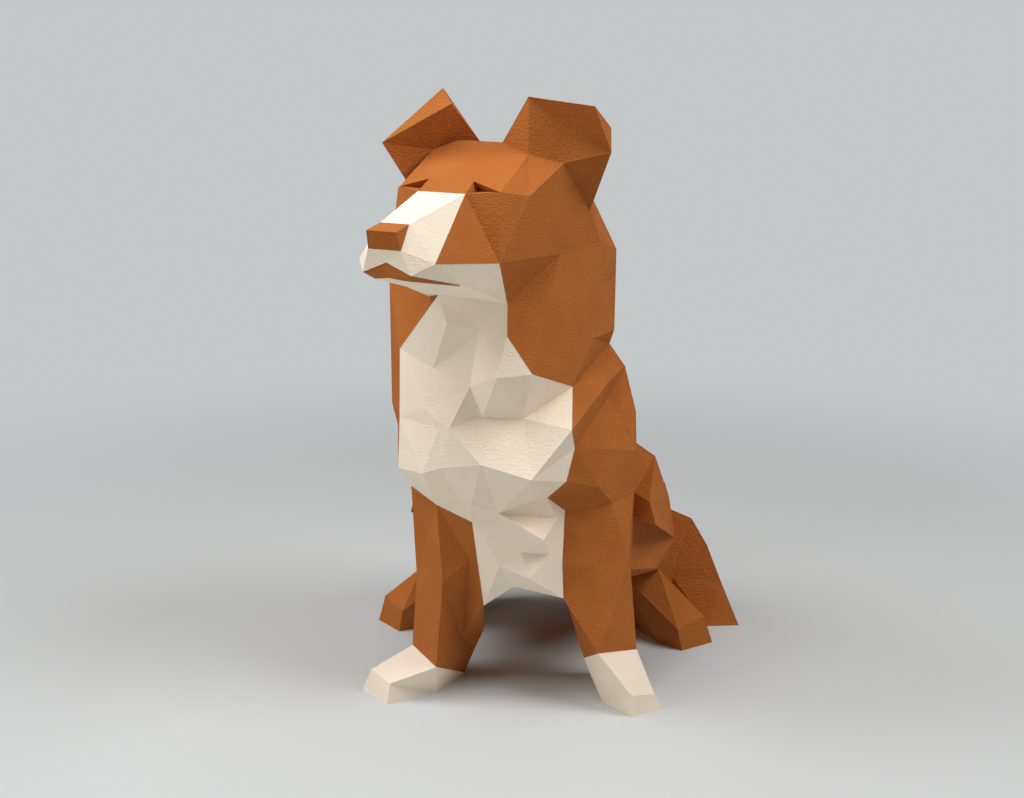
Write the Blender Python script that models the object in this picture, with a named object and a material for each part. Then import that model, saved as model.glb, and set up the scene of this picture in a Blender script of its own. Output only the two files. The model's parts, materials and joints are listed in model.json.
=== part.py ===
# Low-poly papercraft dog, sitting with its head turned: folded sheets of card glued edge to edge.
# Metres, +Z up. The dog faces -Y and its left side is +X. The origin is on the floor, under its middle.
import math

import bmesh
import bpy
import numpy as np
from mathutils import Vector

# Driving dimensions, in millimetres and degrees.
CARD = 0.4
SEAM_GAP = 0.3
ANKLE_HEIGHT = 40.0
LEG_LENGTH = 110.0
CHEST_HEIGHT = 100.0
NECK_LENGTH = 130.0
THIGH_HEIGHT = 170.0
SHOULDER_WIDTH = 172.0
STANCE = 188.0
HIND_STANCE = 238.0
BODY_LENGTH = 238.0
HEAD_TURN = 15.0
HEAD_SIDEWAYS = -14.0
HEAD_DEPTH = 60.0
MUZZLE_LENGTH = 84.0
EAR_HEIGHT = 32.0
TAIL_LENGTH = 57.0
HAUNCH_TUCK = 0.3

# Levels and planes that follow from them.
HEM = ANKLE_HEIGHT + LEG_LENGTH
SHOULDER = HEM + CHEST_HEIGHT
POLL = SHOULDER + NECK_LENGTH
SIDE = SHOULDER_WIDTH / 2
PAW = STANCE / 2
FOOT = HIND_STANCE / 2
MM = 0.001

CARD_COLOURS = {
    "brown_card": (0.43, 0.16, 0.055, 1.0),
    "cream_card": (0.86, 0.79, 0.70, 1.0),
}


def clear_scene():
    for item in list(bpy.data.objects):
        bpy.data.objects.remove(item, do_unlink=True)


def card_material(name):
    material = bpy.data.materials.new(name)
    material.use_nodes = True
    shader = material.node_tree.nodes["Principled BSDF"]
    shader.inputs["Base Color"].default_value = CARD_COLOURS[name]
    shader.inputs["Roughness"].default_value = 0.85
    shader.inputs["Metallic"].default_value = 0.0
    return material


def head(side, forward, up):
    # A point of the head: its left, ahead of and above the neck's turning point, carried by HEAD_TURN.
    turn = math.radians(HEAD_TURN)
    x = HEAD_SIDEWAYS + side * math.cos(turn) - forward * math.sin(turn)
    y = HEAD_DEPTH - side * math.sin(turn) - forward * math.cos(turn)
    return (x, y, POLL + up)


def head_corners():
    nose = 101 + MUZZLE_LENGTH
    tip = 44 + EAR_HEIGHT
    middle = {
        "lip_notch": head(0, nose - 6, -20.5),
        "chin_tip": head(0, nose - 8, -31),
        "throat": head(-16, 76.5, -61),
        "nape": head(0, -62, 22),
    }
    pairs = {
        "blaze": (18, 101, 15),
        "nose_back": (10.5, nose - 18, 3),
        "nose_front": (11, nose, 0.5),
        "nose_low": (12, nose - 4, -12),
        "lip": (17.5, nose - 6, -28),
        "muzzle": (28, nose - 20, -22),
        "chin": (12, nose - 12, -33),
        "mouth_end": (27, nose - 57, -42),
        "eye_in": (17, 86, 22),
        "eye_out": (38.5, 89, 16),
        "eye_low": (19, 81, 14.5),
        "brow": (51, 69, 11.5),
        "crown": (37.5, 41, 36.5),
        "temple": (60, 31, 30.5),
        "cheek": (42, 98, -31),
        "jaw": (31, 62, -66),
        "cheek_back": (56, 28, -34),
        "ruff_front": (66, -23, -31),
        "ruff_top": (64.5, -7, -7),
        "nape_side": (55, -41, -8),
    }
    for name, (side, forward, up) in pairs.items():
        middle[name + ".L"] = head(side, forward, up)
        middle[name + ".R"] = head(-side, forward, up)
    # The crown's back edge and the ears' roots aren't a mirrored pair, because the ears stand differently.
    middle["top.L"] = head(13, 31, 43)
    middle["top.R"] = head(-22, 31, 43)
    middle["ear_root.L"] = head(42, -14, 36)
    middle["ear_root.R"] = head(-25, -10, 38)
    middle["ear_back.R"] = head(-42, -14, 36)
    # The left ear is raised and its corner opens outward.
    middle["ear_tip.L"] = head(36, 38, tip)
    middle["ear_fold.L"] = head(85, 36, tip - 5)
    middle["ear_edge.L"] = head(86, 8, tip - 22)
    middle["ear_corner.L"] = head(90, 17, tip - 38)
    # The right ear is tipped forward.
    middle["ear_tip.R"] = head(-19, 48, tip - 6)
    middle["ear_fold.R"] = head(-30.5, 38, tip + 4)
    middle["ear_corner.R"] = head(-61, 73, tip - 32.5)
    # The head's right corner is drawn forward under that ear.
    middle["temple.R"] = head(-51.3, 55.7, 15.1)
    return middle


def ruff_corners():
    return {
        "ruff_side.L": (SIDE - 22, 100, SHOULDER + 87),
        "ruff_mid.L": (SIDE - 23.5, 112, SHOULDER + 63),
        "ruff_bend.L": (SIDE - 31, 58, SHOULDER + 67),
        "ruff_fold.L": (SIDE - 32, 47, SHOULDER + 29),
        "ruff_low.L": (SIDE - 21, 85, SHOULDER + 28),
        "ruff_back.L": (40, 150, SHOULDER + 85),
        "ruff_tail.L": (42, 140, SHOULDER + 30),
        "ruff_side.R": (-SIDE - 4, 105, SHOULDER + 82),
        "ruff_mid.R": (-SIDE - 6, 115, SHOULDER + 40),
        "ruff_bend.R": (-SIDE - 13, 48, SHOULDER + 68),
        "ruff_low.R": (-SIDE - 12, 45, SHOULDER - 26),
        "ruff_point.R": (-SIDE - 4, 30, SHOULDER - 39),
        "ruff_back.R": (-62, 160, SHOULDER + 85),
        "ruff_tail.R": (-66, 150, SHOULDER + 20),
        "ruff_spine": (-8, 168, SHOULDER + 82),
        "ruff_hem": (-6, 165, SHOULDER + 35),
    }


def bib_corners():
    return {
        "neck_fold.L": (1, -15, SHOULDER + 42),
        "neck_fold.M": (-21, -5, SHOULDER + 43.5),
        "neck_fold.R": (-43.5, -8, SHOULDER + 48),
        "bib_top.L": (20, -22, SHOULDER + 17),
        "bib_wing.L": (43, 19, SHOULDER - 1),
        "tuft_wing.L": (48, -18, SHOULDER - 23),
        "bib_elbow.L": (46.5, 8, HEM + 56),
        "bib_low.L": (41, 5, HEM + 31.5),
        "tuft_tip.L": (21, -30, HEM + 42),
        "tuft_fold.L": (11, -5, SHOULDER - 20),
        "tuft_fold.M": (-19, -5, SHOULDER - 20.5),
        "chest_point": (-17, -22, HEM + 49),
        "chest_top.L": (-4.5, -25, SHOULDER + 14),
        "chest_top.M": (-28, -5, SHOULDER + 2),
        "chest_top.R": (-57, 5, SHOULDER + 12),
        "chest_fold.M": (-42, -12, SHOULDER - 28),
        "chest_fold.N": (-50, -8, SHOULDER - 29),
        "chest_fold.R": (-61.5, -2, SHOULDER - 17.5),
        "bib_wing.R": (-84, 15, SHOULDER + 23),
        "bib_elbow.R": (-85, 15, SHOULDER - 29),
        "bib_side.R": (-88, 20, HEM + 31),
        "tuft_tip.R": (-63, -8, HEM + 36),
        "tuft_fold.R": (-48.5, -12, HEM + 42),
        "chest_notch": (-27, -8, HEM + 14),
        "bib_low.R": (-42, 8, HEM + 11),
    }


def bib_hem_corners():
    return {
        "hem_outer.R": (-80, 28, HEM + 14.5),
        "hem_front.R": (-58, 15, HEM + 5),
        "hem_inner.R": (-30, 10, HEM - 5.5),
        "hem_centre": (-8, 0, HEM + 6),
        "hem_front.L": (26, 12, HEM + 16),
        "hem_inner.L": (36.5, 30, HEM + 1),
        "curl_left": (-19, 8, HEM - 18),
        "curl_tip": (26, -5, HEM - 11),
        "curl_side": (31.5, 21, HEM - 3),
        "curl_root": (7, 8, HEM - 26),
        "curl_low.L": (27, 15, HEM - 29),
        "curl_low.M": (14, 5, HEM - 45),
        "curl_low.R": (-9, 8, HEM - 38),
        "hem_side.L": (36, 22, HEM - 38),
        "skirt.L": (37, 22, HEM - 65.5),
        "skirt.M": (0, 18, HEM - 57),
        "skirt.R": (-23, 18, HEM - 74),
    }


def shoulder_corners():
    corners = {
        "shoulder_top.L": (SIDE - 26.5, 103, SHOULDER + 13),
        "shoulder_out.L": (SIDE - 13, 90, SHOULDER - 1),
        "shoulder_mid.L": (SIDE - 2.5, 75, SHOULDER - 32),
        "shoulder_low.L": (SIDE, 60, HEM + 42),
        "groove_top.L": (SIDE - 21, 50, SHOULDER - 4.5),
        "groove_low.L": (SIDE - 23, 70, SHOULDER - 21),
        "elbow_out.L": (SIDE - 2, 60, HEM + 8),
        "elbow_front.L": (SIDE - 15, 38.5, HEM + 6),
        "elbow_peak.L": (SIDE - 23, 25, HEM + 22),
        "shoulder_top.R": (-70, 112, SHOULDER + 10),
        "shoulder_out.R": (13 - SIDE, 102, SHOULDER - 8),
        "shoulder_mid.R": (2.5 - SIDE, 80, SHOULDER - 34),
        "shoulder_low.R": (-SIDE, 60, HEM + 38),
        "elbow_out.R": (2 - SIDE, 60, HEM + 6),
        "withers": (-4, 160, SHOULDER + 12),
        "spine_mid": (0, BODY_LENGTH - 33, HEM + 40),
        "spine_low": (0, BODY_LENGTH, HEM - 40),
        "seat": (0, BODY_LENGTH - 6, 20),
    }
    pairs = {
        "withers_side": (36, 140, SHOULDER + 10),
        "blade": (66, 140, SHOULDER - 25),
        "flank": (SIDE - 6, 120, HEM + 30),
        "elbow_back": (SIDE - 4, 92, HEM - 2),
    }
    for name, (x, y, z) in pairs.items():
        corners[name + ".L"] = (x, y, z)
        corners[name + ".R"] = (-x, y, z)
    return corners


def foreleg_corners():
    knee = ANKLE_HEIGHT + 0.65 * LEG_LENGTH
    return {
        "knee_out.L": (SIDE - 2.5, 35, knee),
        "knee_front.L": (SIDE - 25, 27, knee - 1.5),
        "ankle_out.L": (PAW - 2.5, 35, ANKLE_HEIGHT + 2),
        "ankle_front.L": (PAW - 28.5, 10, ANKLE_HEIGHT + 7),
        "ankle_in.L": (PAW - 42.5, 35, ANKLE_HEIGHT - 8),
        "shin_in.L": (38, 40, ANKLE_HEIGHT + 32),
        "knee_back.L": (36, 72, knee + 10),
        "calf.L": (SIDE - 4, 74, knee - 20),
        "heel_out.L": (PAW - 8, 72, 0),
        "heel_in.L": (PAW - 43, 78, 0),
        "knee_out.R": (10 - SIDE, 25, knee - 18),
        "knee_front.R": (35 - SIDE, 2, knee - 12),
        "knee_in.R": (-33, 14, knee + 2),
        "ankle_out.R": (13 - PAW, 28, ANKLE_HEIGHT - 4),
        "ankle_front.R": (37 - PAW, 3, ANKLE_HEIGHT - 10),
        "shin_in.R": (-44, 36, ANKLE_HEIGHT + 3.5),
        "shin_back.R": (-31, 58, ANKLE_HEIGHT),
        "ankle_back.R": (-39, 60, ANKLE_HEIGHT - 18),
        "knee_back.R": (-28, 70, knee + 10),
        "calf.R": (4 - SIDE, 74, knee - 20),
        "heel_out.R": (12 - PAW, 72, 0),
        "heel_in.R": (46 - PAW, 64, 0),
    }


def forepaw_corners():
    return {
        "toe_top_out.L": (PAW + 13, 20, 13),
        "toe_top_in.L": (PAW - 2.5, 4, 17.5),
        "toe_out.L": (PAW + 20, 24, 0),
        "toe_in.L": (PAW, 5, 0),
        "paw_top.L": (PAW - 26, 18, 24),
        "paw_in.L": (PAW - 27, 28, 0),
        "toe_top_out.R": (-PAW - 17, 16, 18.5),
        "toe_top_in.R": (2 - PAW, -1, 15.5),
        "toe_out.R": (-PAW - 25, 19, 0),
        "toe_in.R": (-PAW, -5, 0),
        "paw_in.R": (32 - PAW, 22, 0),
    }


def haunch_corners():
    pairs = {
        "thigh_top": (SIDE + 9, 120, THIGH_HEIGHT),
        "thigh_side": (SIDE + 20, 130, THIGH_HEIGHT - 37),
        "thigh_out": (SIDE + 25, 130, THIGH_HEIGHT - 70),
        "thigh_front": (SIDE + 9, 80, THIGH_HEIGHT - 25),
        "stifle": (SIDE + 15.5, 70, THIGH_HEIGHT - 40),
        "stifle_low": (SIDE + 14, 90, THIGH_HEIGHT - 82),
        "thigh_in": (SIDE - 4, 84, THIGH_HEIGHT - 39),
        "thigh_low": (SIDE - 24, 105, THIGH_HEIGHT - 102),
        "hip": (70, BODY_LENGTH - 48, THIGH_HEIGHT - 15),
        "hip_out": (SIDE + 12, BODY_LENGTH - 53, THIGH_HEIGHT - 42),
        "rump": (48, BODY_LENGTH - 8, HEM - 45),
        "seat_side": (50, BODY_LENGTH - 8, 18),
        "hock_top": (SIDE + 22, 165, 84),
        "hock_in": (SIDE - 20, 150, 60),
        "hock_mid": (SIDE + 11, 150, 65),
        "hock_low": (FOOT - 12, 170, 46),
        "foot_out": (FOOT + 16, 156, 24),
        "foot_in": (FOOT - 4, 136, 19.5),
        "sole_out": (FOOT + 23, 160, 0),
        "sole_in": (FOOT, 138, 0),
        "sole_mid": (FOOT - 21, 152, 0),
        "sole_back": (FOOT - 45, 185, 0),
        "hock_heel": (FOOT - 10, BODY_LENGTH - 34, 0),
        "hock_back": (FOOT - 16, BODY_LENGTH - 32, 40),
    }
    corners = {}
    for name, (x, y, z) in pairs.items():
        corners[name + ".L"] = (x, y, z)
        corners[name + ".R"] = (-x, y, z)
    # The left haunch is seen, and its underside is cut back farther.
    corners["stifle_low.L"] = (SIDE + 12.5, 109, THIGH_HEIGHT - 89)
    corners["hock_in.L"] = (SIDE - 21, 162, 55.5)
    corners["hock_mid.L"] = (SIDE + 10, 162, 60.5)
    for name in ("thigh_top", "thigh_side", "thigh_out", "thigh_front", "stifle", "stifle_low", "hip_out"):
        x, y, z = pairs[name]
        corners[name + ".R"] = (-SIDE - HAUNCH_TUCK * (x - SIDE), y, z)
    return corners


def tail_corners():
    reach = 105 + TAIL_LENGTH
    return {
        "tail_root_top": (87.5, BODY_LENGTH - 30, 103.5),
        "tail_top": (118.5, BODY_LENGTH - 20, 87.5),
        "tail_bend": (132.5, BODY_LENGTH - 26, 66.5),
        "tail_side": (reach - 16, BODY_LENGTH - 31, 35),
        "tail_tip": (reach, BODY_LENGTH - 37, 0),
        "tail_heel": (reach - 25, BODY_LENGTH - 43, 0),
        "tail_back_top": (112, BODY_LENGTH - 4, 84),
        "tail_back_tip": (reach - 6, BODY_LENGTH - 8, 0),
    }


def corners():
    table = {}
    for group in (head_corners, ruff_corners, bib_corners, bib_hem_corners, shoulder_corners,
                  foreleg_corners, forepaw_corners, haunch_corners, tail_corners):
        table.update(group())
    return table


# Each sheet is its card and its facets, one facet per line. A name ending in .* is read once for each side.
SHEETS = {
    "head_front": ("brown_card", """
        blaze.R blaze.L eye_in.L crown.L crown.R eye_in.R
        crown.L top.L top.R crown.R
        top.L ear_root.L ear_root.R top.R
        top.R crown.R ear_root.R
        crown.* eye_in.* eye_out.*
        crown.* eye_out.* brow.*
        crown.* brow.* temple.*
        eye_in.* eye_low.* eye_out.*
        eye_in.* blaze.* eye_low.*
        eye_low.* blaze.* eye_out.*
        blaze.* cheek.* eye_out.*
        eye_out.* cheek.* brow.*
        blaze.* muzzle.* cheek.*
        brow.* cheek.* cheek_back.* ruff_front.* ruff_top.* temple.*
    """),
    "head_back": ("brown_card", """
        ear_root.L ruff_top.L nape_side.L
        ear_back.R ruff_top.R nape_side.R
        ear_root.L nape_side.L nape
        ear_back.R nape_side.R nape
        ear_root.L nape ear_back.R ear_root.R
    """),
    "ear_left": ("brown_card", """
        top.L crown.L temple.L ear_corner.L ear_tip.L
        ear_tip.L ear_fold.L ear_corner.L
        ear_fold.L ear_edge.L ear_corner.L
        temple.L ear_corner.L ruff_top.L
        ear_corner.L ear_edge.L ruff_top.L
        ear_edge.L ear_root.L ruff_top.L
        ear_fold.L ear_root.L ear_edge.L
        ear_tip.L ear_root.L ear_fold.L
        ear_tip.L top.L ear_root.L
    """),
    "ear_right": ("brown_card", """
        ear_tip.R crown.R ear_root.R
        ear_tip.R ear_corner.R temple.R crown.R
        ear_tip.R ear_fold.R ear_corner.R
        ear_corner.R ruff_top.R temple.R
        ear_corner.R ear_fold.R ear_back.R
        ear_corner.R ear_back.R ruff_top.R
        ear_fold.R ear_tip.R ear_root.R ear_back.R
    """),
    "nose": ("brown_card", """
        nose_back.R nose_back.L nose_front.L nose_front.R
        nose_front.R nose_front.L nose_low.L nose_low.R
        nose_back.* nose_low.* nose_front.*
    """),
    "muzzle": ("cream_card", """
        blaze.R blaze.L nose_back.L nose_back.R
        blaze.* muzzle.* nose_low.* nose_back.*
        nose_low.* muzzle.* lip.*
        nose_low.R nose_low.L lip.L lip_notch lip.R
    """),
    "mouth": ("brown_card", """
        lip.L lip_notch lip.R chin.R chin_tip chin.L
        lip.* chin.* mouth_end.*
    """),
    "lower_jaw": ("cream_card", """
        muzzle.* lip.* mouth_end.* jaw.* cheek.*
        chin.* mouth_end.* jaw.* throat
        chin.L chin_tip chin.R throat
    """),
    "ruff_left": ("brown_card", """
        cheek.L jaw.L cheek_back.L
        cheek_back.L jaw.L neck_fold.L
        cheek_back.L neck_fold.L bib_top.L
        cheek_back.L bib_top.L ruff_fold.L ruff_bend.L ruff_front.L
        ruff_top.L ruff_front.L ruff_side.L nape_side.L
        ruff_front.L ruff_bend.L ruff_mid.L ruff_side.L
        ruff_bend.L ruff_fold.L ruff_low.L ruff_mid.L
        bib_top.L bib_wing.L shoulder_top.L ruff_low.L ruff_fold.L
        nape_side.L ruff_side.L ruff_back.L
        nape nape_side.L ruff_back.L ruff_spine
        ruff_side.L ruff_mid.L ruff_back.L
        ruff_mid.L ruff_low.L ruff_tail.L ruff_back.L
        ruff_back.L ruff_tail.L ruff_hem ruff_spine
        ruff_low.L shoulder_top.L withers_side.L ruff_tail.L
        ruff_tail.L withers_side.L withers ruff_hem
    """),
    "ruff_right": ("brown_card", """
        cheek.R cheek_back.R jaw.R
        throat jaw.R bib_wing.R
        jaw.R cheek_back.R ruff_bend.R
        jaw.R ruff_bend.R bib_wing.R
        bib_wing.R ruff_bend.R ruff_low.R ruff_point.R bib_elbow.R
        cheek_back.R ruff_front.R ruff_side.R ruff_bend.R
        ruff_bend.R ruff_side.R ruff_mid.R ruff_low.R
        nape_side.R ruff_side.R ruff_front.R ruff_top.R
        nape_side.R ruff_back.R ruff_side.R
        ruff_side.R ruff_back.R ruff_tail.R ruff_mid.R
        nape ruff_spine ruff_back.R nape_side.R
        ruff_back.R ruff_spine ruff_hem ruff_tail.R
        bib_elbow.R ruff_point.R shoulder_low.R bib_side.R
        ruff_point.R ruff_low.R shoulder_mid.R shoulder_low.R
        ruff_low.R ruff_mid.R shoulder_out.R shoulder_mid.R
        ruff_mid.R ruff_tail.R shoulder_top.R shoulder_out.R
        ruff_tail.R withers_side.R shoulder_top.R
        ruff_tail.R ruff_hem withers withers_side.R
    """),
    "chest_bib": ("cream_card", """
        throat jaw.L neck_fold.L neck_fold.M neck_fold.R
        throat neck_fold.R chest_top.R bib_wing.R
        neck_fold.R neck_fold.M chest_top.R
        neck_fold.M chest_top.M chest_top.R
        neck_fold.M chest_top.L chest_top.M
        neck_fold.M neck_fold.L chest_top.L
        neck_fold.L bib_top.L chest_top.L
        chest_top.L bib_top.L bib_wing.L tuft_fold.L tuft_fold.M
        chest_top.L tuft_fold.M chest_top.M
        chest_top.M tuft_fold.M chest_fold.M
        chest_top.R chest_top.M chest_fold.M chest_fold.R
        bib_wing.R chest_top.R chest_fold.R
        bib_wing.R chest_fold.R bib_elbow.R
        chest_fold.R chest_fold.M chest_fold.N
        bib_elbow.R chest_fold.R chest_fold.N tuft_fold.R tuft_tip.R
        bib_elbow.R tuft_tip.R bib_side.R
        chest_fold.M tuft_fold.M chest_point
        chest_fold.N chest_fold.M tuft_fold.R
        chest_fold.M chest_point tuft_fold.R
        tuft_fold.M tuft_fold.L chest_point
        tuft_fold.L bib_wing.L tuft_wing.L tuft_tip.L chest_point
        tuft_wing.L bib_elbow.L tuft_tip.L
        bib_elbow.L bib_low.L tuft_tip.L
        tuft_tip.L bib_low.L hem_front.L
        tuft_tip.L hem_front.L hem_centre
        chest_point tuft_tip.L hem_centre
        chest_point hem_centre chest_notch
        tuft_fold.R chest_point chest_notch
        chest_notch hem_centre curl_left hem_inner.R
        tuft_fold.R chest_notch hem_inner.R bib_low.R
        tuft_tip.R tuft_fold.R bib_low.R
        tuft_tip.R bib_low.R hem_front.R
        bib_side.R tuft_tip.R hem_front.R hem_outer.R
        bib_low.R hem_inner.R hem_front.R
    """),
    "lower_bib": ("cream_card", """
        hem_inner.R curl_left curl_low.R skirt.M skirt.R
        hem_centre curl_tip curl_root curl_left
        hem_centre hem_front.L curl_side
        hem_centre curl_side curl_tip
        hem_front.L hem_inner.L curl_side
        curl_tip curl_side curl_low.L
        curl_tip curl_low.L curl_root
        curl_side hem_inner.L hem_side.L curl_low.L
        curl_left curl_root curl_low.L curl_low.M curl_low.R
        curl_low.R curl_low.M skirt.M
        curl_low.M curl_low.L hem_side.L
        curl_low.M hem_side.L skirt.L skirt.M
    """),
    "front_leg_left": ("brown_card", """
        bib_wing.L shoulder_top.L shoulder_out.L groove_top.L
        bib_wing.L groove_top.L tuft_wing.L
        tuft_wing.L groove_top.L groove_low.L bib_elbow.L
        shoulder_out.L shoulder_mid.L shoulder_low.L bib_elbow.L groove_low.L groove_top.L
        bib_elbow.L shoulder_low.L elbow_out.L elbow_front.L elbow_peak.L bib_low.L
        bib_low.L elbow_peak.L elbow_front.L hem_inner.L hem_front.L
        hem_inner.L knee_front.L hem_side.L
        hem_inner.L elbow_front.L elbow_out.L knee_out.L knee_front.L
        knee_front.L knee_out.L ankle_out.L ankle_front.L
        hem_side.L knee_front.L ankle_front.L ankle_in.L shin_in.L skirt.L
        skirt.L shin_in.L heel_in.L knee_back.L
        shin_in.L ankle_in.L heel_in.L
        elbow_out.L elbow_back.L thigh_in.L calf.L knee_out.L
        knee_out.L calf.L heel_out.L ankle_out.L
        calf.L knee_back.L heel_in.L heel_out.L
    """),
    "front_leg_right": ("brown_card", """
        bib_side.R hem_outer.R elbow_out.R shoulder_low.R
        hem_outer.R hem_front.R knee_front.R ankle_front.R ankle_out.R knee_out.R
        hem_front.R hem_inner.R knee_in.R shin_in.R ankle_front.R knee_front.R
        hem_inner.R skirt.R shin_back.R ankle_back.R shin_in.R knee_in.R
        elbow_out.R hem_outer.R knee_out.R calf.R
        knee_out.R ankle_out.R heel_out.R calf.R
        elbow_out.R calf.R thigh_in.R elbow_back.R
        ankle_front.R shin_in.R ankle_back.R heel_in.R
        skirt.R knee_back.R shin_back.R
        calf.R heel_out.R heel_in.R ankle_back.R shin_back.R knee_back.R
    """),
    "front_paw_left": ("cream_card", """
        ankle_front.L ankle_out.L toe_top_out.L toe_top_in.L
        toe_top_in.L toe_top_out.L toe_out.L toe_in.L
        ankle_out.L heel_out.L toe_out.L toe_top_out.L
        ankle_front.L toe_top_in.L paw_top.L
        ankle_front.L paw_top.L ankle_in.L
        paw_top.L toe_top_in.L toe_in.L paw_in.L
        ankle_in.L paw_top.L paw_in.L
        ankle_in.L paw_in.L heel_in.L
        toe_in.L toe_out.L heel_out.L heel_in.L paw_in.L
    """),
    "front_paw_right": ("cream_card", """
        ankle_out.R ankle_front.R toe_top_in.R toe_top_out.R
        toe_top_in.R toe_in.R toe_out.R toe_top_out.R
        ankle_out.R toe_top_out.R toe_out.R heel_out.R
        ankle_front.R heel_in.R paw_in.R toe_in.R toe_top_in.R
        toe_in.R paw_in.R heel_in.R heel_out.R toe_out.R
    """),
    "back": ("brown_card", """
        shoulder_top.* withers_side.* blade.* shoulder_out.*
        shoulder_out.* blade.* flank.* shoulder_mid.*
        shoulder_mid.* flank.* shoulder_low.*
        shoulder_low.* flank.* elbow_back.* elbow_out.*
        withers_side.* withers spine_mid blade.*
        blade.* spine_mid hip.* flank.*
        spine_mid rump.* hip.*
        spine_mid spine_low rump.*
        spine_low seat seat_side.* rump.*
    """),
    "haunch_left": ("brown_card", """
        flank.L thigh_top.L hip.L
        thigh_top.L thigh_side.L hip_out.L hip.L
        thigh_side.L thigh_out.L hock_top.L hip_out.L
        flank.L elbow_back.L thigh_front.L thigh_top.L
        thigh_top.L thigh_front.L thigh_out.L thigh_side.L
        elbow_back.L thigh_in.L thigh_front.L
        thigh_in.L stifle.L thigh_front.L
        thigh_front.L stifle.L thigh_out.L
        thigh_in.L stifle_low.L thigh_out.L stifle.L
        thigh_in.L calf.L stifle_low.L
        calf.L thigh_low.L stifle_low.L
        stifle_low.L thigh_low.L hock_in.L hock_mid.L
        thigh_out.L stifle_low.L hock_mid.L hock_top.L
        hip.L hip_out.L tail_root_top rump.L
        hip_out.L hock_top.L hock_back.L tail_root_top
    """),
    "haunch_right": ("brown_card", """
        flank.R thigh_top.R hip.R
        thigh_top.R thigh_side.R hip_out.R hip.R
        thigh_side.R thigh_out.R hock_top.R hip_out.R
        flank.R elbow_back.R thigh_front.R thigh_top.R
        thigh_top.R thigh_front.R thigh_out.R thigh_side.R
        elbow_back.R thigh_in.R thigh_front.R
        thigh_in.R stifle.R thigh_front.R
        thigh_front.R stifle.R thigh_out.R
        thigh_in.R stifle_low.R thigh_out.R stifle.R
        thigh_in.R calf.R stifle_low.R
        calf.R thigh_low.R stifle_low.R
        stifle_low.R thigh_low.R hock_in.R hock_mid.R
        thigh_out.R stifle_low.R hock_mid.R hock_top.R
        hip.R hip_out.R rump.R
        hip_out.R hock_top.R hock_back.R
        hip_out.R hock_back.R seat_side.R rump.R
    """),
    "hind_foot_left": ("brown_card", """
        hock_in.L hock_mid.L hock_low.L foot_out.L foot_in.L
        hock_mid.L hock_top.L hock_low.L
        foot_in.L foot_out.L sole_out.L sole_in.L
        hock_in.L foot_in.L sole_in.L sole_mid.L
        hock_in.L sole_mid.L sole_back.L
        hock_low.L hock_heel.L sole_out.L foot_out.L
        hock_low.L hock_top.L hock_back.L hock_heel.L
        hock_heel.L sole_back.L seat_side.L
        sole_in.L sole_out.L hock_heel.L sole_back.L sole_mid.L
    """),
    "hind_foot_right": ("brown_card", """
        hock_in.R hock_mid.R hock_low.R foot_out.R foot_in.R
        hock_mid.R hock_top.R hock_low.R
        foot_in.R foot_out.R sole_out.R sole_in.R
        hock_in.R foot_in.R sole_in.R sole_mid.R
        hock_in.R sole_mid.R sole_back.R
        hock_low.R hock_heel.R sole_out.R foot_out.R
        hock_low.R hock_top.R hock_back.R hock_heel.R
        hock_back.R hock_heel.R sole_back.R seat_side.R
        sole_in.R sole_out.R hock_heel.R sole_back.R sole_mid.R
    """),
    "tail": ("brown_card", """
        tail_root_top tail_top tail_bend hock_back.L
        hock_back.L tail_bend tail_side tail_heel
        tail_side tail_tip tail_heel
        tail_root_top rump.L tail_back_top tail_top
        tail_top tail_back_top tail_bend
        tail_bend tail_back_top tail_back_tip tail_tip tail_side
        rump.L seat_side.L tail_back_tip tail_back_top
        hock_back.L tail_heel hock_heel.L
        hock_heel.L tail_heel tail_tip tail_back_tip
        hock_heel.L tail_back_tip seat_side.L
    """),
    "belly": ("brown_card", """
        skirt.R skirt.M skirt.L knee_back.L knee_back.R
        knee_back.* calf.* thigh_low.*
        knee_back.L thigh_low.L thigh_low.R knee_back.R
        thigh_low.L hock_in.L hock_in.R thigh_low.R
        hock_in.* sole_back.* seat_side.*
        hock_in.* seat_side.* seat
        hock_in.L seat hock_in.R
    """),
}


def facets(text):
    rows = []
    for line in text.strip().splitlines():
        names = line.split()
        if any(name.endswith(".*") for name in names):
            for side in "LR":
                rows.append([name.replace("*", side) for name in names])
        else:
            rows.append(names)
    return rows


def folded_surface():
    # The whole outside of the dog as one closed surface of triangles, each marked with its sheet.
    surface = bmesh.new()
    places = {name: surface.verts.new(point) for name, point in corners().items()}
    sheet_of = surface.faces.layers.int.new("sheet")
    for number, (card, text) in enumerate(SHEETS.values()):
        for names in facets(text):
            facet = surface.faces.new([places[name] for name in names])
            facet[sheet_of] = number
    bmesh.ops.recalc_face_normals(surface, faces=surface.faces[:])
    bmesh.ops.triangulate(surface, faces=surface.faces[:])
    surface.verts.index_update()
    points = np.array([tuple(place.co) for place in surface.verts])
    triangles = [tuple(place.index for place in facet.verts) for facet in surface.faces]
    owners = [facet[sheet_of] for facet in surface.faces]
    surface.free()
    return points, triangles, owners


def facet_normals(points, triangles):
    normals = []
    for a, b, c in triangles:
        normal = np.cross(points[b] - points[a], points[c] - points[a])
        normals.append(normal / np.linalg.norm(normal))
    return normals


def inside_steps(points, triangles, normals):
    # How far each corner moves in, so that every facet that meets there is at least one card thick.
    around = {}
    for triangle, normal in zip(triangles, normals):
        for corner in triangle:
            around.setdefault(corner, []).append(normal)
    steps = np.zeros_like(points)
    for corner, rows in around.items():
        step = shortest_step_behind(rows)
        length = np.linalg.norm(step)
        steps[corner] = step * min(1.0, 4 * CARD / length)
    return steps


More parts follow.
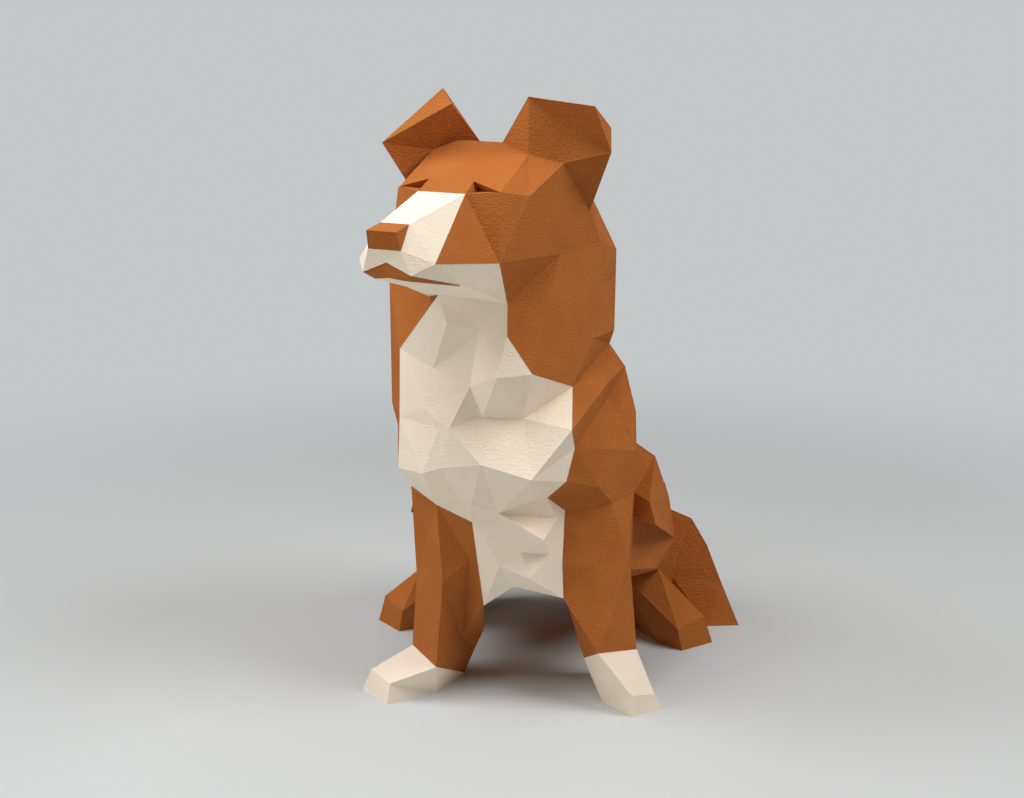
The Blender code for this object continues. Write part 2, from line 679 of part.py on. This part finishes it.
def shortest_step_behind(rows):
    # The shortest move that lies at least one card behind every facet, found by relaxing one facet at a time.
    pushes = np.zeros(len(rows))
    step = np.zeros(3)
    for _ in range(400):
        for index, normal in enumerate(rows):
            short = CARD + normal.dot(step) - 0.001 * pushes[index]
            push = max(0.0, pushes[index] + short / 1.001)
            step = step - (push - pushes[index]) * normal
            pushes[index] = push
    return step


def seam_directions(triangles, normals, owners, points):
    # For each glued edge of a sheet, the way from the seam's middle plane into that sheet.
    sides = {}
    for index, triangle in enumerate(triangles):
        for a, b in zip(triangle, triangle[1:] + triangle[:1]):
            sides[(a, b)] = index
    ways = {}
    for (a, b), index in sides.items():
        other = sides[(b, a)]
        if owners[index] == owners[other]:
            continue
        along = points[b] - points[a]
        along = along / np.linalg.norm(along)
        inward = np.cross(normals[index], along)
        beyond = np.cross(normals[other], -along)
        way = inward - beyond
        if np.linalg.norm(way) < 0.2:
            way = inward
        ways[(a, b)] = way / np.linalg.norm(way)
    return ways


def corner_fans(chosen, ways):
    # Around one corner a sheet's facets may form more than one fan: each gets its own copy of the corner.
    fans = {}
    for index, triangle in chosen:
        for corner in triangle:
            fans.setdefault(corner, []).append([(index, triangle)])
    for corner, groups in fans.items():
        joined = True
        while joined:
            joined = False
            for first in range(len(groups)):
                for second in range(first + 1, len(groups)):
                    if share_fold(groups[first], groups[second], corner, ways):
                        groups[first].extend(groups.pop(second))
                        joined = True
                        break
                if joined:
                    break
    return fans


def share_fold(first, second, corner, ways):
    for _, one in first:
        for _, other in second:
            common = set(one) & set(other)
            if len(common) == 2 and corner in common:
                a, b = common
                if (a, b) not in ways and (b, a) not in ways:
                    return True
    return False


def seam_step(corner, fan, ways, normals):
    # How far a fan's corner is pulled back from the seams that pass through it.
    rows = []
    reach = []
    for _, triangle in fan:
        for edge in zip(triangle, triangle[1:] + triangle[:1]):
            if corner in edge and edge in ways:
                rows.append(ways[edge])
                reach.append(SEAM_GAP / 2)
    if not rows:
        return np.zeros(3)
    for index, _ in fan:
        rows.append(0.05 * normals[index])
        reach.append(0.0)
    step = np.linalg.lstsq(np.array(rows), np.array(reach), rcond=0.02)[0]
    length = np.linalg.norm(step)
    return step * min(1.0, 4 * SEAM_GAP / max(length, 1e-9))


def fold_sheet(name, card, number, surface, middle):
    points, triangles, owners, normals, steps, ways = surface
    chosen = [(index, triangle) for index, triangle in enumerate(triangles) if owners[index] == number]
    fans = corner_fans(chosen, ways)
    copies = {}
    outside = []
    inside = []
    for corner, groups in fans.items():
        for fan in groups:
            place = points[corner] + seam_step(corner, fan, ways, normals)
            for index, _ in fan:
                copies[(corner, index)] = len(outside)
            outside.append(place - middle)
            inside.append(place + steps[corner] - middle)
    count = len(outside)
    faces = []
    for index, triangle in chosen:
        ring = [copies[(corner, index)] for corner in triangle]
        faces.append(ring)
        faces.append([count + place for place in reversed(ring)])
        for a, b in zip(triangle, triangle[1:] + triangle[:1]):
            if (a, b) in ways:
                start = copies[(a, index)]
                end = copies[(b, index)]
                if a < b:
                    faces.append([end, start, count + end])
                    faces.append([start, count + start, count + end])
                else:
                    faces.append([end, start, count + start])
                    faces.append([end, count + start, count + end])
    mesh = bpy.data.meshes.new(name)
    mesh.from_pydata([Vector(place) * MM for place in outside + inside], [], faces)
    mesh.validate()
    mesh.materials.append(bpy.data.materials[card])
    item = bpy.data.objects.new(name, mesh)
    bpy.context.scene.collection.objects.link(item)
    return item


def build_dog():
    clear_scene()
    for card in CARD_COLOURS:
        card_material(card)
    points, triangles, owners = folded_surface()
    normals = facet_normals(points, triangles)
    steps = inside_steps(points, triangles, normals)
    ways = seam_directions(triangles, normals, owners, points)
    surface = (points, triangles, owners, normals, steps, ways)
    low = points.min(axis=0)
    high = points.max(axis=0)
    middle = np.array([(low[0] + high[0]) / 2, (low[1] + high[1]) / 2, low[2]])
    for number, (name, (card, _)) in enumerate(SHEETS.items()):
        fold_sheet(name, card, number, surface, middle)


build_dog()
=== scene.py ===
# Papercraft dog: brown and cream card, scored, folded and glued.
# The sheets themselves come from the frame; this script adds the finish, the fold lines and the studio.
import json
import math
import bmesh
import bpy
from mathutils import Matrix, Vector
from mathutils.bvhtree import BVHTree


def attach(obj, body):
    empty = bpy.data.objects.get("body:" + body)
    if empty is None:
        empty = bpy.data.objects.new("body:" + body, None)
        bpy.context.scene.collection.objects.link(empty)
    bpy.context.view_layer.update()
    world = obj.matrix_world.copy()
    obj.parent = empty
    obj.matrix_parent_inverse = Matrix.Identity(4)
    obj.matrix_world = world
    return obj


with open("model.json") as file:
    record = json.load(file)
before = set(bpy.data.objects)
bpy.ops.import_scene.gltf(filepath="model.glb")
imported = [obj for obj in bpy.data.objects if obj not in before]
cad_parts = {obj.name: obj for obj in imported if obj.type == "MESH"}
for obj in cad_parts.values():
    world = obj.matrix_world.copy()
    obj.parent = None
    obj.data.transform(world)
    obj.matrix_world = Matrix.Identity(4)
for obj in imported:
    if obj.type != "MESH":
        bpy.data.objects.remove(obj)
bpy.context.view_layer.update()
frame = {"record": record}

mm = 0.001
creamNodes = ("muzzle", "lower_jaw", "chest_bib", "lower_bib", "front_paw_left", "front_paw_right")


def linear(hexText):
    # sRGB hex to the linear colour that the shader wants
    channels = []
    for start in (0, 2, 4):
        value = int(hexText[start:start + 2], 16) / 255
        channels.append(value / 12.92 if value <= 0.04045 else ((value + 0.055) / 1.055) ** 2.4)
    return (*channels, 1.0)


def addNode(tree, kind, settings=None, inputs=None, links=None):
    node = tree.nodes.new(kind)
    for name, value in (settings or {}).items():
        setattr(node, name, value)
    for name, value in (inputs or {}).items():
        node.inputs[name].default_value = value
    for name, socket in (links or {}).items():
        tree.links.new(socket, node.inputs[name])
    return node


def plainMaterial(name, colour, roughness):
    material = bpy.data.materials.new(name)
    material.use_nodes = True
    shader = material.node_tree.nodes["Principled BSDF"]
    shader.inputs["Base Color"].default_value = linear(colour)
    shader.inputs["Roughness"].default_value = roughness
    return material


def linkObject(name, data):
    thing = bpy.data.objects.new(name, data)
    bpy.context.scene.collection.objects.link(thing)
    return thing


# Felt-marked craft card of 300 g/m2, coloured through; the sizes are in millimetres.
card = {
    "brown": "B2692F",
    "brownDeep": "AC632B",
    # The fold colours are paler than the sheet: a painted highlight along the ridges, partly the paler
    # stretched fibres of the score
    "brownRidgeHighlight": "B87036",
    "brownFelt": 0.95,
    "cream": "F9EBD9",
    "creamDeep": "F6E7D3",
    "creamRidgeHighlight": "FBEFE0",
    "creamFelt": 0.6,
    "roughness": 0.86,
    "specular": 0.18,
    "feltHeight": 1.2,
    "feltWidth": 2.8,
    "feltBend": 0.15,
    "fibreSize": 0.45,
    "fibreDepth": 0.04,
    "fibreStrength": 0.5,
    "mottleSize": 30.0,
    "mottleStart": 0.35,
    "mottleEnd": 0.65,
}


def cardStock(name, base, deep, feltDepth):
    # Felt-marked craft card: to the eye it is matt, with a soft raised tooth and a faint cloudiness in the dye
    material = plainMaterial(name, base, card["roughness"])
    tree = material.node_tree
    shader = tree.nodes["Principled BSDF"]
    shader.inputs["Specular IOR Level"].default_value = card["specular"]
    place = addNode(tree, "ShaderNodeTexCoord").outputs["Object"]

    # The dye: broad clouds of a slightly deeper colour
    mottle = addNode(tree, "ShaderNodeTexNoise", {},
                     {"Scale": 1 / (card["mottleSize"] * mm), "Detail": 3.0, "Roughness": 0.55},
                     {"Vector": place})
    share = addNode(tree, "ShaderNodeMapRange", {},
                    {"From Min": card["mottleStart"], "From Max": card["mottleEnd"]},
                    {"Value": mottle.outputs["Fac"]})
    dye = addNode(tree, "ShaderNodeMix", {"data_type": "RGBA"}, {}, {"Factor": share.outputs["Result"]})
    dye.inputs[6].default_value = linear(base)
    dye.inputs[7].default_value = linear(deep)
    tree.links.new(dye.outputs[2], shader.inputs["Base Color"])

    # The tooth: long low marks that the felt pressed in, as long and as high as they show in the photograph
    grain = addNode(tree, "ShaderNodeMapping", {"vector_type": "POINT"}, {}, {"Vector": place})
    grain.inputs["Scale"].default_value = (1 / card["feltWidth"], 1 / card["feltWidth"], 1 / card["feltHeight"])
    felt = addNode(tree, "ShaderNodeTexNoise", {},
                   {"Scale": 1 / mm, "Detail": 1.5, "Roughness": 0.5, "Distortion": card["feltBend"]},
                   {"Vector": grain.outputs["Vector"]})
    tooth = addNode(tree, "ShaderNodeBump", {},
                    {"Strength": 1.0, "Distance": feltDepth * mm},
                    {"Height": felt.outputs["Fac"]})

    # The fibres: a fine nap on top of the tooth
    fibre = addNode(tree, "ShaderNodeTexNoise", {},
                    {"Scale": 1 / (card["fibreSize"] * mm), "Detail": 2.0},
                    {"Vector": place})
    nap = addNode(tree, "ShaderNodeBump", {},
                  {"Strength": card["fibreStrength"], "Distance": card["fibreDepth"] * mm},
                  {"Height": fibre.outputs["Fac"], "Normal": tooth.outputs["Normal"]})
    tree.links.new(nap.outputs["Normal"], shader.inputs["Normal"])
    return material


brownCard = cardStock("brown craft card", card["brown"], card["brownDeep"], card["brownFelt"])
creamCard = cardStock("cream craft card", card["cream"], card["creamDeep"], card["creamFelt"])
# Scored ridges: the card on the fold beads is a little paler, a painted highlight along each ridge, partly the
# paler stretched fibres of the score
brownRidgeHighlight = cardStock("brown craft card, painted fold highlight", card["brownRidgeHighlight"], card["brown"], card["brownFelt"])
creamRidgeHighlight = cardStock("cream craft card, painted fold highlight", card["creamRidgeHighlight"], card["cream"], card["creamFelt"])
print("materials: four kinds of card")


def sheetNodes():
    return [row["node"] for row in frame["record"]["subparts"]]


def dressSheets():
    for name in sheetNodes():
        for slot in bpy.data.objects[name].material_slots:
            slot.material = creamCard if name in creamNodes else brownCard


# A scored ridge: the bead on it is sunk so far that only a soft crest shows, in millimetres.
fold = {
    "radius": 0.3,
    "inset": 0.2,
    "sides": 8,
    "leastAngle": 10.0,
}

# The sheets meet edge to edge: each cut edge is rounded over by the glue that closes the seam, in millimetres.
seam = {
    "radius": 0.22,
    "inset": 0.12,
    "sides": 8,
    "rimWidth": 1.8,
}

# How the outer faces of a sheet are told from its inner ones; the sizes are in millimetres.
probe = {
    "merge": 0.002,
    "start": 0.05,
    "step": 0.01,
    "mostHits": 40,
    "ahead": 0.9,
    "leans": ((0.31, 0.17, 0.93), (-0.53, 0.21, 0.81), (0.13, -0.67, 0.74)),
}


def mergedCopy(name):
    sheet = bmesh.new()
    sheet.from_mesh(bpy.data.objects[name].data)
    bmesh.ops.remove_doubles(sheet, verts=sheet.verts[:], dist=probe["merge"] * mm)
    sheet.normal_update()
    return sheet


def wholeTree(sheets):
    points = []
    faces = []
    for sheet in sheets.values():
        start = len(points)
        sheet.verts.index_update()
        points.extend(vert.co.copy() for vert in sheet.verts)
        faces.extend([start + vert.index for vert in face.verts] for face in sheet.faces)
    return BVHTree.FromPolygons(points, faces)


def hitsOnTheWay(tree, place, way):
    hits = 0
    while hits < probe["mostHits"]:
        found, _, _, _ = tree.ray_cast(place, way)
        if found is None:
            break
        hits += 1
        place = found + way * probe["step"] * mm
    return hits


def looksOut(tree, face):
    # A ray that leaves an outer face meets the dog again only as a whole: two walls of two faces each time.
    # One of the four may be missed at a seam.
    start = face.calc_center_median() + face.normal * probe["start"] * mm
    votes = 0
    for lean in probe["leans"]:
        way = (Vector(lean) + face.normal * probe["ahead"]).normalized()
        votes += 1 if hitsOnTheWay(tree, start, way) % 4 in (0, 3) else -1
    return votes > 0


def faceWidth(face):
    # A triangle's height over its longest side
    return 2 * face.calc_area() / max(edge.calc_length() for edge in face.edges)


def isRidge(faces):
    way = faces[1].calc_center_median() - faces[0].calc_center_median()
    return way.dot(faces[0].normal) < 0


def sunken(edge, faces, inset):
    outward = sum((face.normal for face in faces), Vector()).normalized()
    return tuple(vert.co - outward * inset * mm for vert in edge.verts)


def foldsAndSeams():
    # Each sheet's scored ridges, and the cut edges where the next sheet is glued on
    sheets = {name: mergedCopy(name) for name in sheetNodes()}
    tree = wholeTree(sheets)
    leastAngle = math.radians(fold["leastAngle"])
    found = {}
    for name, sheet in sheets.items():
        rim = {face for face in sheet.faces if faceWidth(face) < seam["rimWidth"] * mm}
        outer = {face for face in sheet.faces if face not in rim and looksOut(tree, face)}
        folds = []
        seams = []
        for edge in sheet.edges:
            outside = [face for face in edge.link_faces if face in outer]
            if len(outside) == 2 and isRidge(outside) and edge.calc_face_angle() > leastAngle:
                folds.append(sunken(edge, outside, fold["inset"]))
            if len(outside) == 1 and any(face in rim for face in edge.link_faces):
                seams.append(sunken(edge, outside, seam["inset"]))
        found[name] = {"folds": folds, "seams": seams}
        sheet.free()
    return found


def edgeLines(name, edges):
    # One object that holds only the chosen edges, for the node tree to thicken
    numbers = {}
    points = []
    pairs = []
    for ends in edges:
        pair = []
        for point in ends:
            key = tuple(round(value / (0.01 * mm)) for value in point)
            if key not in numbers:
                numbers[key] = len(points)
                points.append(point)
            pair.append(numbers[key])
        pairs.append(pair)
    mesh = bpy.data.meshes.new(name)
    mesh.from_pydata(points, pairs, [])
    return linkObject(name, mesh)


def beadTree():
    # Geometry nodes: every line becomes a fine round bead, as a scored ridge or a glued edge is
    tree = bpy.data.node_groups.new("bead along an edge", "GeometryNodeTree")
    tree.interface.new_socket("Geometry", in_out="INPUT", socket_type="NodeSocketGeometry")
    tree.interface.new_socket("Radius", in_out="INPUT", socket_type="NodeSocketFloat")
    tree.interface.new_socket("Sides", in_out="INPUT", socket_type="NodeSocketInt")
    tree.interface.new_socket("Card", in_out="INPUT", socket_type="NodeSocketMaterial")
    tree.interface.new_socket("Geometry", in_out="OUTPUT", socket_type="NodeSocketGeometry")
    given = addNode(tree, "NodeGroupInput")
    alone = addNode(tree, "GeometryNodeSplitEdges", {}, {}, {"Mesh": given.outputs["Geometry"]})
    paths = addNode(tree, "GeometryNodeMeshToCurve", {}, {}, {"Mesh": alone.outputs["Mesh"]})
    ring = addNode(tree, "GeometryNodeCurvePrimitiveCircle", {}, {},
                   {"Radius": given.outputs["Radius"], "Resolution": given.outputs["Sides"]})
    bead = addNode(tree, "GeometryNodeCurveToMesh", {}, {"Fill Caps": True},
                   {"Curve": paths.outputs["Curve"], "Profile Curve": ring.outputs["Curve"]})
    real = addNode(tree, "GeometryNodeRealizeInstances", {}, {}, {"Geometry": bead.outputs["Mesh"]})
    done = addNode(tree, "GeometryNodeSetMaterial", {}, {},
                   {"Geometry": real.outputs["Geometry"], "Material": given.outputs["Card"]})
    addNode(tree, "NodeGroupOutput", {}, {}, {"Geometry": done.outputs["Geometry"]})
    return tree


def beads(name, edges, sizes, material, tree):
    lines = edgeLines(name + " lines", edges)
    modifier = lines.modifiers.new("beads", "NODES")
    modifier.node_group = tree
    given = {"Radius": sizes["radius"] * mm, "Sides": sizes["sides"], "Card": material}
    for socket in tree.interface.items_tree:
        if socket.in_out == "INPUT" and socket.name in given:
            modifier[socket.identifier] = given[socket.name]
    lines.update_tag()
    bpy.context.view_layer.update()
    shape = bpy.data.meshes.new_from_object(lines.evaluated_get(bpy.context.evaluated_depsgraph_get()))
    bpy.data.objects.remove(lines)
    shape.name = name
    for face in shape.polygons:
        face.use_smooth = True
    return linkObject(name, shape)


def layBeads():
    # One piece for each colour and kind of edge
    network = foldsAndSeams()
    tree = beadTree()
    brownNodes = [name for name in network if name not in creamNodes]
    # The fold beads take the paler card, a painted highlight along each ridge; the seam beads take the sheet's
    # own card
    colours = (("cream", creamNodes, creamRidgeHighlight, creamCard), ("brown", brownNodes, brownRidgeHighlight, brownCard))
    for colour, names, ridgeHighlightCard, seamCard in colours:
        for kind, sizes, material in (("folds", fold, ridgeHighlightCard), ("seams", seam, seamCard)):
            edges = [ends for name in names for ends in network[name][kind]]
            piece = beads(colour + "_" + kind, edges, sizes, material, tree)
            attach(piece, "root")
            print(piece.name, len(edges))


# The studio: a pale paper floor that passes into a pale backdrop, in metres.
studio = {
    "floor": "CDD1D2",
    "floorRoughness": 0.9,
    "floorSize": 8.0,
    "fadeStart": 0.3,
    "fadeEnd": 1.1,
    "world": "FFE9D2",
    "worldStrength": 0.12,
    "backdrop": "C3C7C8",
    "aim": (0.0, 0.0, 0.22),
}

# The softboxes hang round the dog: each one's power in watts, its width and its place in metres.
softboxes = {
    "key softbox": (5.5, 0.7, (-0.25, -0.55, 1.35)),
    "top softbox": (2.0, 0.9, (0.0, 0.05, 1.5)),
    "left softbox": (7.5, 0.7, (-0.95, -0.2, 1.15)),
    "front softbox": (3.0, 0.7, (-0.9, -1.1, 0.6)),
    "right softbox": (10.0, 0.7, (0.9, -0.2, 1.2)),
}

# The photograph's view: the place and the lens in millimetres, the angles in degrees.
view = {
    "place": (196.9, -1221.3, 548.2),
    "pitchDown": 14.5,
    "turn": 10.0,
    "lens": 59.77,
    "sensor": 36.0,
}


def paperFloor():
    # Matt paper near the dog; farther off the camera sees it pass into the backdrop without a line
    material = plainMaterial("matt paper floor", studio["floor"], studio["floorRoughness"])
    tree = material.node_tree
    place = addNode(tree, "ShaderNodeTexCoord").outputs["Object"]
    away = addNode(tree, "ShaderNodeVectorMath", {"operation": "LENGTH"}, {}, {"Vector": place})
    fade = addNode(tree, "ShaderNodeMapRange", {"interpolation_type": "SMOOTHSTEP"},
                   {"From Min": studio["fadeStart"], "From Max": studio["fadeEnd"]},
                   {"Value": away.outputs["Value"]})
    rays = addNode(tree, "ShaderNodeLightPath")
    seen = addNode(tree, "ShaderNodeMath", {"operation": "MULTIPLY"})
    tree.links.new(fade.outputs["Result"], seen.inputs[0])
    tree.links.new(rays.outputs["Is Camera Ray"], seen.inputs[1])
    glow = addNode(tree, "ShaderNodeEmission", {}, {"Color": linear(studio["backdrop"]), "Strength": 1.0})
    choice = addNode(tree, "ShaderNodeMixShader", {}, {}, {"Fac": seen.outputs["Value"]})
    tree.links.new(tree.nodes["Principled BSDF"].outputs["BSDF"], choice.inputs[1])
    tree.links.new(glow.outputs["Emission"], choice.inputs[2])
    tree.links.new(choice.outputs["Shader"], tree.nodes["Material Output"].inputs["Surface"])
    return material


def studioFloor():
    half = studio["floorSize"] / 2
    corners = [(-half, -half, 0), (half, -half, 0), (half, half, 0), (-half, half, 0)]
    mesh = bpy.data.meshes.new("floor")
    mesh.from_pydata(corners, [], [(0, 1, 2, 3)])
    mesh.materials.append(paperFloor())
    floor = linkObject("floor", mesh)


def surroundings():
    # The world lights the dog softly, and shows the backdrop to the camera and in reflections
    world = bpy.data.worlds.new("studio")
    world.use_nodes = True
    tree = world.node_tree
    light = tree.nodes["Background"]
    light.inputs["Color"].default_value = linear(studio["world"])
    light.inputs["Strength"].default_value = studio["worldStrength"]
    backdrop = addNode(tree, "ShaderNodeBackground", {},
                       {"Color": linear(studio["backdrop"]), "Strength": 1.0})
    rays = addNode(tree, "ShaderNodeLightPath")
    seen = addNode(tree, "ShaderNodeMath", {"operation": "MAXIMUM"})
    tree.links.new(rays.outputs["Is Camera Ray"], seen.inputs[0])
    tree.links.new(rays.outputs["Is Glossy Ray"], seen.inputs[1])
    choice = addNode(tree, "ShaderNodeMixShader", {}, {}, {"Fac": seen.outputs["Value"]})
    tree.links.new(light.outputs["Background"], choice.inputs[1])
    tree.links.new(backdrop.outputs["Background"], choice.inputs[2])
    tree.links.new(choice.outputs["Shader"], tree.nodes["World Output"].inputs["Surface"])
    bpy.context.scene.world = world


def softLamps():
    for name, (power, width, place) in softboxes.items():
        lamp = bpy.data.lights.new(name, "AREA")
        lamp.shape = "DISK"
        lamp.energy = power
        lamp.size = width
        thing = linkObject(name, lamp)
        thing.location = place
        thing.rotation_euler = (Vector(studio["aim"]) - Vector(place)).to_track_quat("-Z", "Y").to_euler()


def photoCamera():
    lens = bpy.data.cameras.new("photo camera")
    lens.lens = view["lens"]
    lens.sensor_width = view["sensor"]
    camera = linkObject("photo camera", lens)
    camera.location = [value * mm for value in view["place"]]
    camera.rotation_euler = (math.radians(90 - view["pitchDown"]), 0, math.radians(view["turn"]))
    bpy.context.scene.camera = camera


photoCamera()
studioFloor()
surroundings()
softLamps()
bpy.context.scene.view_settings.view_transform = "Standard"
print("studio: camera, floor, backdrop and softboxes")

dressSheets()
print("sheets dressed in card")

layBeads()
print("folds and seams laid")
